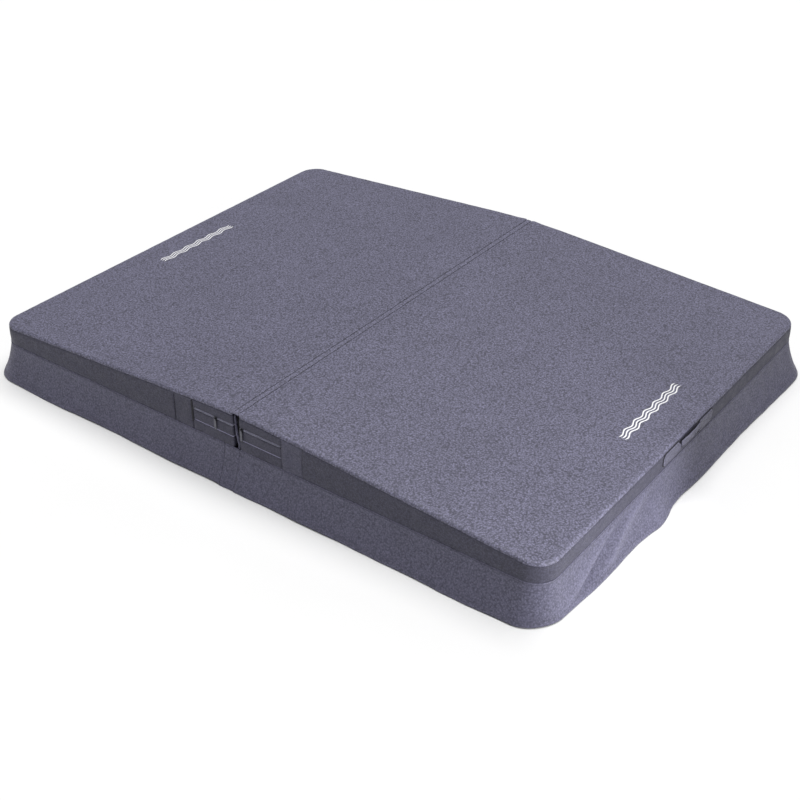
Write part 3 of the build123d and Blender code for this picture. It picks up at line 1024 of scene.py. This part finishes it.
def gussets():
    """Folded strips that close the ends of the gap."""
    for face, y in FACES.items():
        low, high = (corner.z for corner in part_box(f"{face}_fold_gusset"))
        heights = np.linspace(high, UNDERSIDE + 0.002, 34)[:, None]
        bend = np.interp(heights - UNDERSIDE, [0.022, 0.064, 0.118], [0.005, -0.003, -0.004])
        across = np.linspace(-1, 1, 15)[None, :]
        wide = 0.0024 + 0.0026 * smooth(UNDERSIDE + 0.10 - heights, 0, 0.07)
        crumple = 0.0006 * waves(heights, across * 0.01, 0.05, 97)
        depth = 0.006 * np.abs(across) ** 1.8 - 0.0012 + crumple
        grid = grid_of(bend + across * wide, y * (HALF_WIDTH - 0.0016 - depth), heights)[:, ::-y]
        # Painted highlight down the middle of each folded strip.
        obj = shell(f"{face}_gusset_cloth", grid, SKIRT_VINYL, wear_and_highlight=0.7 * (1 - across**2))
        finish_piece(obj, "left_half", "side_vinyl", f"{face}_fold_gusset")


# Handles and print


def handles(side):
    """Two sewn tabs, the strap between them and the dark webbing behind, which paints their shadow.
    """
    sign = SIDES[side]
    tab_low, tab_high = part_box("right_handle_tabs")
    grip_low, grip_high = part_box("right_handle_grip")
    inner, outer = grip_high.y + 0.004, tab_high.y
    across = np.linspace(0, 1, 41)[None, :]
    t = np.linspace(0, 1, 23)[:, None]
    chamfer = 0.011 * smooth(across, 0.86, 1.0) ** 2
    narrow = 0.009 * smooth(1 - across, 0.9, 1.0)
    high = tab_high.z - chamfer - narrow
    low = tab_low.z + 0.6 * chamfer + narrow
    place_y = inner + (outer - inner) * across + 0 * t
    place_z = high + (low - high) * t
    edge = np.minimum(np.minimum(t, 1 - t) * 0.040, (1 - across) * (outer - inner))
    for face, y in FACES.items():
        puff = 0.0030 + 0.0012 * smooth(edge, 0.0, 0.004) - 0.0007 * bump(edge, 0.0052, 0.0014)
        puff = puff + 0.0003 * waves(place_y, place_z, 0.03, 101 + y)
        puff = puff + 0.0035 * smooth(1 - across, 0.93, 1.0)
        grid = mirrored(grid_of(HALF_LENGTH + puff, y * place_y, place_z)[:, ::y], sign)
        wear_and_highlight = 0.9 * np.exp(-((edge / 0.0025) ** 2))[:, :: y * sign]
        obj = shell(f"{side}_{face}_handle_tab", grid, HANDLE_VINYL, thickness=0.0013, wear_and_highlight=wear_and_highlight)
        nodes = [f"{side}_handle_tabs"] if face == "front" else []
        finish_piece(obj, f"{side}_half", "handle_vinyl", *nodes)
        box_stitch(f"{side}_{face}_tab", grid, f"{side}_half")
    grip(side, grip_low, grip_high)
    handle_shadow_backing(side, inner, outer, tab_low.z, tab_high.z, (grip_low.z, grip_high.z))


def handle_shadow_backing(side, inner, outer, low, high, strap):
    """Webbing behind the handle, which shows as a dark edge round its tabs and strap: painted shadow
    round the tabs and under the strap.
    """
    margin = 0.0034
    y = np.linspace(-outer - margin, outer + margin, 161)[None, :]
    t = np.linspace(0, 1, 13)[:, None]
    corner = (1 - smooth(outer + margin - np.abs(y), 0, 0.014)) ** 2
    waist = smooth(inner + 0.004 - np.abs(y), 0, 0.004)
    upper = between(high + margin - 0.013 * corner, strap[1] - 0.003, waist)
    lower = between(low - margin + 0.008 * corner, strap[0] - 0.0075, waist)
    x = HALF_LENGTH + 0.0021 - 0.0006 * (bump(t, 0, 0.05) + bump(t, 1, 0.05))
    grid = mirrored(grid_of(x, y, upper + (lower - upper) * t), SIDES[side])
    obj = shell(f"{side}_handle_backing", grid, SHADOW_WEBBING, thickness=0.0009)
    finish_piece(obj, f"{side}_half", "handle_vinyl")


def box_stitch(name, grid, body):
    """Stitches round a tab, just inside its edge, and across it as a cross."""
    points, normals = grid.reshape(-1, 3), grid_normals(grid).reshape(-1, 3)
    index = indices(*grid.shape[:2])[3:-3, 3:-3]
    ring = border(index)
    down, across = (np.linspace(1, size - 2, 30).round().astype(int) for size in index.shape)
    lines = {
        "outline": np.append(ring, ring[0]),
        "cross_a": index[down, across],
        "cross_b": index[down, across[::-1]],
    }
    for label, at in lines.items():
        line = points[at], normals[at]
        stitched = beads(f"{name}_{label}", *line, THREAD, 0.0042, 0.0033, 0.0004)
        finish_piece(stitched, body, "handle_vinyl")


def grip(side, low, high):
    """The folded strap of the handle: a soft flattened tube that bows out between its tabs."""
    sign = SIDES[side]
    reach = high.y - 0.001
    y = np.linspace(-reach, reach, 61)
    turn = np.linspace(0, 2 * math.pi, 33)[:-1]
    middle_z = (low.z + high.z) / 2 + 0.0035
    tall = (high.z - low.z) / 2
    start = HALF_LENGTH + 0.0072 + 0.0035 * (1 - (y / reach) ** 2)
    depth, rise = 0.0021 * rounded(np.cos(turn), 0.5), tall * rounded(np.sin(turn), 0.8)
    tuck = 1 - 0.16 * bump(np.abs(y), reach, 0.012)
    crumple = 0.0005 * waves(y[None], turn[:, None] * 0.006, 0.03, 105)
    x = sign * (start[None] + depth[:, None] + crumple)
    grid = grid_of(x, y[None], middle_z + rise[:, None] * tuck[None])
    faces = tube_faces(len(turn), len(y))
    if sign > 0:
        faces = [face[::-1] for face in faces]
    obj = new_object(f"{side}_handle_strap", grid.reshape(-1, 3), faces, HANDLE_VINYL)
    set_wear_and_highlight(obj, np.repeat(bump(np.abs(np.sin(turn)), 1, 0.35), len(y)))
    finish_piece(obj, f"{side}_grip", "handle_vinyl", f"{side}_handle_grip")
    for label, height in (("upper", 0.45), ("lower", -0.45)):
        line = grid_of(sign * (start + 0.0019), y, middle_z + height * tall)[2:-2]
        facing = np.tile((float(sign), 0.0, 0.0), (len(line), 1))
        name = f"{side}_strap_{label}_stitches"
        stitched = beads(name, line, facing, THREAD, 0.0045, 0.0035, 0.0004)
        finish_piece(stitched, f"{side}_grip", "handle_vinyl")


def printed_waves(side):
    """Three wavy lines of ink on the top, near the outer end."""
    sign = SIDES[side]
    low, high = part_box("right_top_print")
    length = high.y - low.y
    y = np.linspace(-length / 2, length / 2, 181)
    wave = (low.x + high.x) / 2 + 0.004 * np.sin(12 * math.pi * (y / length + 0.5))
    taper = 0.0020 * smooth(length / 2 - np.abs(y), 0, 0.012) + 0.0002
    u = np.linspace(-1, 1, 5)[:, None]
    points, faces = [], []
    for row in (-1, 0, 1):
        x = wave + row * 0.010 + u * taper
        z = top_surface(x, y, sign) + 0.00035 - 0.00015 * abs(u)
        grid = mirrored(grid_of(x, y, z), sign)
        faces.append(grid_faces(*grid.shape[:2]) + sum(len(p) for p in points))
        points.append(grid.reshape(-1, 3))
    points, faces = np.concatenate(points), np.concatenate(faces)
    obj = solid_sheet(f"{side}_printed_waves", points, faces, INK, 0.0002)
    finish_piece(obj, f"{side}_half", "white_print", f"{side}_top_print")


# Stage, camera and lights

AMBIENT = 0.30
FLOOR_WHITE = (0.87, 0.87, 0.868)
FLOOR_REACH, FLOOR_HEIGHT = 30.0, -0.0006
CAMERA_LENS, CAMERA_SENSOR = 60.49, 36.0
CAMERA_PLACE = (2.2998, -3.1123, 2.4111)
CAMERA_TURNS = (0.63684, 0.991386, 0.002584)  # round its own Z, X and Z


def stage():
    """A white floor just under the hem, and even light from all round."""
    floor_material, tree, shader = new_material("floor")
    tone = scaled(tree, noise(tree, place_of(tree), 0.6), 0.3, 0.7, 0.985, 1.0)
    feed(tree, shader.inputs["Base Color"], times(tree, FLOOR_WHITE, tone))
    feed(tree, shader.inputs["Roughness"], 0.9)
    corners = [(x * FLOOR_REACH, y * FLOOR_REACH, FLOOR_HEIGHT) for x, y in CORNERS]
    new_object("floor", corners, [(0, 1, 2, 3)], floor_material)

    world = bpy.data.worlds.new("studio")
    world.use_nodes = True
    background = world.node_tree.nodes["Background"].inputs
    background[0].default_value = (1.0, 1.0, 1.0, 1.0)
    background[1].default_value = AMBIENT
    bpy.context.scene.world = world


def light(name, kind, location, target, energy, **settings):
    """A light that shines from a location towards a target."""
    data = bpy.data.lights.new(name, kind)
    data.energy = energy
    for key, value in settings.items():
        setattr(data, key, value)
    away = unit(np.array(location) - np.array(target))
    sideways = unit(np.cross((0.0, 1.0, 0.0), away))
    axes = Matrix(np.column_stack([sideways, np.cross(away, sideways), away]).tolist())
    add(name, data).matrix_world = Matrix.Translation(location) @ axes.to_4x4()


def camera():
    """A camera at the viewing angle of the product picture, above the front right corner."""
    data = bpy.data.cameras.new("camera")
    data.lens, data.sensor_width = CAMERA_LENS, CAMERA_SENSOR
    obj = bpy.context.scene.camera = add("camera", data)
    place = Matrix.Translation(CAMERA_PLACE)
    for turn, axis in zip(CAMERA_TURNS, "ZXZ"):
        place = place @ Matrix.Rotation(turn, 4, axis)
    obj.matrix_world = place


# The object

for side in SIDES:
    top_cover(side)
    side_walls(side)
    zip_parts(side)
    if side == "left":
        dark_tape_shadows(side)
    base_liner(side)
    handles(side)
    printed_waves(side)
skirts()
hinge()
seal()
gussets()

CAD_FINISHES = {
    "foam_core": BEAD_FOAM,
    "vapour_wrap": FILM,
    "steel_channel": STEEL,
    "zip_slider": ZIP_METAL,
    "zip_pull": ZIP_METAL,
    "drain_eyelets": BRASS,
    "seal_foam": SEAL_FOAM,
}
for name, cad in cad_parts.items():
    for ending, material in CAD_FINISHES.items():
        if name.endswith(ending):
            for slot in cad.material_slots:
                slot.material = material

stage()
camera()
light("overhead", "SUN", (0.0, 0.0, 4.0), (-0.03, -0.13, 3.0), 2.8, angle=math.radians(60))
light(
    "key", "SPOT", (2.35, -0.72, 0.44), (1.07, -0.47, 0.20), 88.0,
    shadow_soft_size=0.08, spot_size=math.radians(37), spot_blend=0.35,
)

scene = bpy.context.scene
scene.view_settings.view_transform = "Standard"
scene.view_settings.look = "None"
